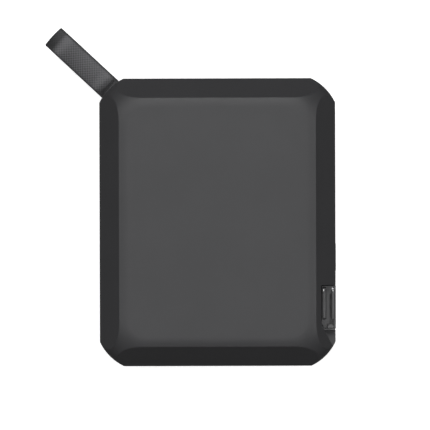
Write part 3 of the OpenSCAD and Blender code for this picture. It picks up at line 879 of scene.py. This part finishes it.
def makeDoor():
    form = doorForm
    low, high = doorLow, doorHigh
    hinge = jointPlace("door_swing")
    piece = addBlock("portDoor", low, (high.x, high.y, form["top"]))
    roundEdges(piece, lambda a, b: abs(a.z - b.z) > mm and a.x < low.x + 0.1 * mm
               and a.y > high.y - mm, form["backCorner"], 4)
    sliceOff(piece, (low.x, low.y + form["slantRise"], 0),
             (-form["slantRise"], -form["slantRun"], 0))
    wide = high.x - low.x
    sliceOff(piece, (low.x, 0, form["top"]), (form["fall"], 0, wide))

    def onTop(place):
        return place.z + (place.x - low.x) * form["fall"] / wide > form["top"] - 0.01 * mm

    roundEdges(piece, lambda a, b: onTop(a) and onTop(b), form["topEdge"], 4)
    facet = Vector((-form["facet"], form["facet"], 1)).normalized()
    for across, radius, sunk, start, worn in form["beads"]:
        height = form["top"] - across * form["fall"] / wide - sunk
        bead = addRod("bead", (low.x + across, low.y + form["beadEnd"], height),
                      (low.x + across, high.y - start, height), radius, 48)
        roundEdges(bead, lambda a, b: abs(a.y - b.y) < 0.01 * mm, radius * form["beadRound"], 10)
        mergeClose(bead)
        if worn:
            sliceOff(bead, (low.x + across, high.y - start - worn, height + radius), facet)
        combine(piece, bead, "UNION")
    lip = addBlock("lip", (low.x + form["lipStart"], low.y, form["top"] - mm),
                   (low.x + form["lipStart"] + form["lipWidth"], low.y + form["lipLength"], high.z))
    roundEdges(lip, lambda a, b: abs(a.z - b.z) > mm and max(a.y, b.y) > low.y + mm,
               form["lipRound"], 6)
    roundEdges(lip, lambda a, b: min(a.z, b.z) > high.z - 0.01 * mm, form["lipEdge"], 4)
    combine(piece, lip, "UNION")
    combine(piece, addBlock("hollow", (low.x - mm, low.y + mm, low.z + form["skin"]),
                            (high.x - form["skin"], high.y - form["hingeBlock"],
                             form["top"] - form["topSkin"])))
    combine(piece, addRod("knuckle", (hinge.x, hinge.y, low.z - mm),
                          (hinge.x, hinge.y, form["postTop"]), form["knuckle"], 40))
    combine(piece, addRod("pinBore", (hinge.x, hinge.y, low.z - mm),
                          (hinge.x, hinge.y, form["top"] - form["boreCap"]), form["bore"], 24))
    mergeClose(piece)
    soften(piece, form["edge"])
    finishPiece(piece, "door", "door_plastic", ["port_door"], doorPlastic, beadPolish)
    for face in piece.data.polygons:
        for across, radius, sunk, start, worn in form["beads"]:
            plane = form["top"] - (face.center.x - low.x) * form["fall"] / wide
            rounded = (abs(face.center.x - low.x - across) < radius
                       and face.normal.y > form["polishSlope"]
                       and 0 < high.y - start - face.center.y < form["polishFrom"]
                       and face.center.z > plane + form["polishRise"])
            if rounded or (face.normal - facet).length < form["facetMatch"]:
                face.material_index = 1
    print("port door", len(piece.data.polygons), "faces")


makeDoor()


# Side button, window, sockets and probe header: CAD shapes with their edges broken

for node, name, edge, body, slot, material in (
        ("side_button", "sideButton", 0.24 * mm, "button", "button_plastic", buttonPlastic),
        ("status_window", "statusWindow", 0.12 * mm, "case", "window_plastic", windowPlastic),
        ("usb_socket_shell", "cableSocketShell", 0.09 * mm, "case", "socket_steel", socketSteel),
        ("usb_socket_tongue", "cableSocketTongue", 0.1 * mm, "case", "header_plastic", blackNylon),
        ("probe_header_shroud", "probeHeaderShroud", 0.22 * mm, "case", "header_plastic", blackNylon),
        ("probe_header_pins", "probeHeaderPins", 0.14 * mm, "case", "contact_gold", contactGold),
        ("door_hinge_pin", "doorHingePin", 0.12 * mm, "case", "pin_steel", pinSteel),
        ("strap_pin", "strapPin", 0.2 * mm, "case", "pin_steel", pinSteel),
        ("heatsink", "heatsink", 0.14 * mm, "case", "sink_aluminium", sinkAluminium),
        ("main_board", "mainBoard", 0.08 * mm, "case", "board_laminate", laminate)):
    finishPiece(softCopy(node, name, edge), body, slot, [node], material)
print("sockets and header ready")


# Contacts on the socket's tongue

contactForm = {"count": 12, "pitch": 0.5 * mm, "width": 0.26 * mm, "rise": 0.04 * mm,
               "inset": 0.5 * mm, "edge": 0.03 * mm}


def makeContacts():
    form = contactForm
    low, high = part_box("usb_socket_tongue")
    seed = addBlock("contact", (low.x + form["inset"], -form["width"] / 2, low.z - form["rise"]),
                    (high.x - form["inset"], form["width"] / 2, high.z + form["rise"]))
    soften(seed, form["edge"])
    first = (low.y + high.y) / 2 - (form["count"] - 1) / 2 * form["pitch"]
    piece = joinAs("cableSocketContacts", copiesOf(seed, [
        Matrix.Translation((0, first + i * form["pitch"], 0)) for i in range(form["count"])]))
    finishPiece(piece, "case", "contact_gold", [], contactGold)


makeContacts()


# Screws: a head with a hexagon socket and a helical thread

allScrews = {"socketDeep": 0.9 * mm, "headRound": 0.4 * mm, "edge": 0.07 * mm, "ringsPerTurn": 5,
             "threadDeep": 0.24, "tipSize": 0.8}
screwForms = {
    "case_screws": {**allScrews, "name": "caseScrews", "radius": 1.25 * mm, "pitch": 0.7 * mm,
                    "head": 2.3 * mm, "headTall": 1.6 * mm, "socket": 0.85 * mm, "up": -1},
    "board_screws": {**allScrews, "name": "boardScrews", "radius": 1.0 * mm, "pitch": 0.5 * mm,
                     "head": 1.9 * mm, "headTall": 1.3 * mm, "socket": 0.7 * mm, "up": 1}}


def makeScrew(form, centre, low, high):  # up is 1 for a head at the top and -1 for one underneath
    up = form["up"]
    top, tip = (high, low) if up > 0 else (low, high)
    neck = top - up * form["headTall"]
    rings = round(abs(neck - tip) / form["pitch"] * form["ringsPerTurn"])

    def rod(name, start, end, radius, sides):
        low, high = min(start, end), max(start, end)
        return addRod(name, (centre.x, centre.y, low), (centre.x, centre.y, high), radius, sides)

    shank = rod("shank", tip, neck, form["radius"], 20)
    pick(shank, "EDGE", lambda a, b: abs(a.z - b.z) > mm)
    bpy.ops.mesh.subdivide(number_cuts=rings)
    leaveEdit()
    for vertex in shank.data.vertices:
        offset = Vector((vertex.co.x - centre.x, vertex.co.y - centre.y))
        turn = math.atan2(offset.y, offset.x) / (2 * math.pi)
        phase = (vertex.co.z / form["pitch"] - turn) % 1
        sink = form["threadDeep"] * form["pitch"] * abs(2 * phase - 1)
        near = min(abs(vertex.co.z - tip) / form["pitch"], 1)
        taper = form["tipSize"] + (1 - form["tipSize"]) * near
        offset *= (form["radius"] - sink) / form["radius"] * taper
        vertex.co.x, vertex.co.y = centre.x + offset.x, centre.y + offset.y
    smooth(shank, 60)
    head = rod("head", neck, top, form["head"], 48)
    roundEdges(head, lambda a, b: abs(a.z - top) < 0.01 * mm and abs(b.z - top) < 0.01 * mm,
               form["headRound"], 4)
    combine(head, rod("hexagon", top + up * mm, top - up * form["socketDeep"], form["socket"], 6))
    soften(head, form["edge"])
    return joinTo(head, [shank])


def makeScrews(node):
    form = screwForms[node]
    low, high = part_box(node)
    across, along = high.x - form["head"], high.y - form["head"]
    screws = [makeScrew(form, Vector((x * across, y * along, 0)), low.z, high.z)
              for x in (-1, 1) for y in (-1, 1)]
    finishPiece(joinAs(form["name"], screws), "case", "screw_steel", [node], screwSteel)


for node in screwForms:
    makeScrews(node)
print("screws ready")


# Threaded inserts: knurled in two bands

insertForm = {"radius": 1.98 * mm, "bore": 1.27 * mm, "sides": 40, "rings": 9,
              "knurl": 0.14 * mm, "grooveDeep": 1.2, "waist": 0.08, "rim": 0.05}


def makeInserts():
    form = insertForm
    low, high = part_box("brass_inserts")
    tall = high.z - low.z
    inserts = []
    for x in (-1, 1):
        for y in (-1, 1):
            centre = Vector((x * (high.x - form["radius"]), y * (high.y - form["radius"]), 0))
            piece = addRod("insert", (centre.x, centre.y, low.z), (centre.x, centre.y, high.z),
                           form["radius"], form["sides"])
            pick(piece, "EDGE", lambda a, b: abs(a.z - b.z) > mm)
            bpy.ops.mesh.subdivide(number_cuts=form["rings"])
            leaveEdit()
            for vertex in piece.data.vertices:
                offset = Vector((vertex.co.x - centre.x, vertex.co.y - centre.y))
                side = round(math.atan2(offset.y, offset.x) / (2 * math.pi) * form["sides"])
                height = (vertex.co.z - low.z) / tall
                groove = abs(height - 0.5) < form["waist"] or abs(height - 0.5) > 0.5 - form["rim"]
                sink = form["knurl"] * (form["grooveDeep"] if groove else side % 2)
                offset *= 1 - sink / form["radius"]
                vertex.co.x, vertex.co.y = centre.x + offset.x, centre.y + offset.y
            combine(piece, addRod("insertBore", (centre.x, centre.y, low.z - mm),
                                  (centre.x, centre.y, high.z + mm), form["bore"], 32))
            inserts.append(piece)
    piece = joinAs("brassInserts", inserts)
    smooth(piece, 20)
    finishPiece(piece, "case", "insert_brass", ["brass_inserts"], insertBrass)


makeInserts()
print("inserts ready")


# Nodes whose CAD shape is right: only their finish changes

nodeFinishes = {
    "case_gasket": gasketRubber, "switch_plunger": blackNylon, "button_switch": switchPlastic,
    "status_led_1": lampResin, "status_led_2": lampResin, "status_led_3": lampResin,
    "logic_array_chip": chipResin, "thermal_pad": thermalSilicone, "memory_chip": chipResin,
    "usb_controller": chipResin, "clock_crystal": canSteel, "input_buffer_1": chipResin,
    "input_buffer_2": chipResin, "input_buffer_3": chipResin, "input_buffer_4": chipResin,
    "surge_arrays": chipResin, "power_inductor": ferrite, "voltage_regulator": chipResin,
    "capacitors": ceramic}

for node, material in nodeFinishes.items():
    for slot in frame["nodes"][node].material_slots:
        slot.material = material
print("remaining nodes finished")
